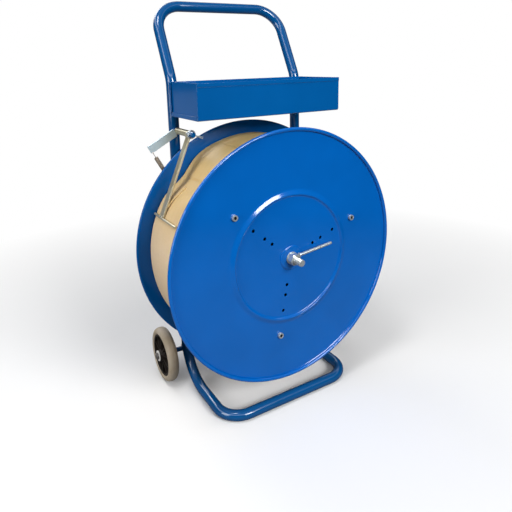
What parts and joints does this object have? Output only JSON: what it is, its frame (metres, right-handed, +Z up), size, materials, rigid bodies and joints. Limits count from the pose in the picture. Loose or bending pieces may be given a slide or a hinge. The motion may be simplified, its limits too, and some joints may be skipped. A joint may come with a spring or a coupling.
{
  "type": "strapping reel dispenser trolley",
  "caption": "Wheeled tube-frame trolley with a tray, a turning reel of strapping on a fixed spindle, a lever nut and a sprung pressure arm.",
  "frame": {"origin": "on the floor, in the middle of the footprint", "axes": "+X to the right of someone facing the reel, +Y to the back, where the handle leans, +Z up"},
  "size_m": [0.59, 0.3714, 0.9456],
  "materials": {
    "blue_paint": "gloss",
    "zinc": "satin",
    "strap": "satin",
    "cardboard": "matte",
    "tyre": "matte",
    "black_plastic": "matte",
    "nylon": "matte",
    "grey_plastic": "matte"
  },
  "bodies": {
    "trolley": {"handle_tube": "blue_paint", "base_tube": "blue_paint", "tube_spigot_left": "zinc", "tube_spigot_right": "zinc", "crossbar": "blue_paint", "spindle": "zinc", "spindle_spacer": "zinc", "spindle_rear_nut": "zinc", "tray_body": "blue_paint", "tray_end_left": "blue_paint", "tray_end_right": "blue_paint", "tray_screw_left": "zinc", "tray_screw_right": "zinc", "tray_nut_left": "zinc", "tray_nut_right": "zinc", "arm_pivot_rod": "blue_paint", "pivot_washer": "zinc", "split_pin": "zinc", "spring_stud": "zinc", "arm_spring": "zinc", "wheel_axle": "blue_paint", "axle_bracket_left": "blue_paint", "axle_bracket_right": "blue_paint", "axle_washer_left": "zinc", "axle_washer_right": "zinc", "axle_cap_left": "grey_plastic", "axle_cap_right": "grey_plastic"},
    "reel": {"front_flange": "blue_paint", "rear_flange": "blue_paint", "front_boss": "blue_paint", "rear_boss": "blue_paint", "hub_tube": "zinc", "hub_bush_front": "nylon", "hub_bush_rear": "nylon", "core_support_1": "zinc", "core_support_2": "zinc", "core_support_3": "zinc", "front_screw_1": "zinc", "front_screw_2": "zinc", "front_screw_3": "zinc", "rear_screw_1": "zinc", "rear_screw_2": "zinc", "rear_screw_3": "zinc", "coil_core": "cardboard", "strap_coil": "strap", "strap_end": "strap"},
    "drag_washer": {"thrust_washer": "zinc"},
    "drag_nut": {"lever_nut": "zinc", "lever_rod": "zinc"},
    "pressure_arm": {"arm_sleeve": "zinc", "arm_bar": "zinc", "presser_rod": "zinc", "spring_lever": "zinc"},
    "wheel_left": {"tyre_left": "tyre", "wheel_rim_left": "black_plastic", "wheel_bush_left": "nylon"},
    "wheel_right": {"tyre_right": "tyre", "wheel_rim_right": "black_plastic", "wheel_bush_right": "nylon"}
  },
  "joints": [
    {"name": "reel_spin", "type": "hinge", "parent": "trolley", "child": "reel", "pos_m": [0, -0.05, 0.3635], "axis": [0, 1, 0], "continuous": true},
    {"name": "nut_travel", "type": "slide", "parent": "trolley", "child": "drag_washer", "axis": [0, -1, 0], "range_m": [0, 0.004]},
    {"name": "nut_turn", "type": "hinge", "parent": "drag_washer", "child": "drag_nut", "pos_m": [0, -0.155, 0.3635], "axis": [0, -1, 0], "range_deg": [0, 540]},
    {"name": "arm_swing", "type": "hinge", "parent": "trolley", "child": "pressure_arm", "pos_m": [-0.173, 0, 0.645], "axis": [0, 1, 0], "range_deg": [0, 60], "stiffness_Nm_per_rad": 0.8, "springref_deg": -57.3, "deforming": ["arm_spring"]},
    {"name": "wheel_left_spin", "type": "hinge", "parent": "trolley", "child": "wheel_left", "pos_m": [-0.224, 0.1056, 0.068], "axis": [1, 0, 0], "continuous": true},
    {"name": "wheel_right_spin", "type": "hinge", "parent": "trolley", "child": "wheel_right", "pos_m": [0.224, 0.1056, 0.068], "axis": [1, 0, 0], "continuous": true}
  ],
  "couplings": [
    {"joint": "nut_travel", "follows": "nut_turn", "m_per_rad": 0.00031831}
  ]
}
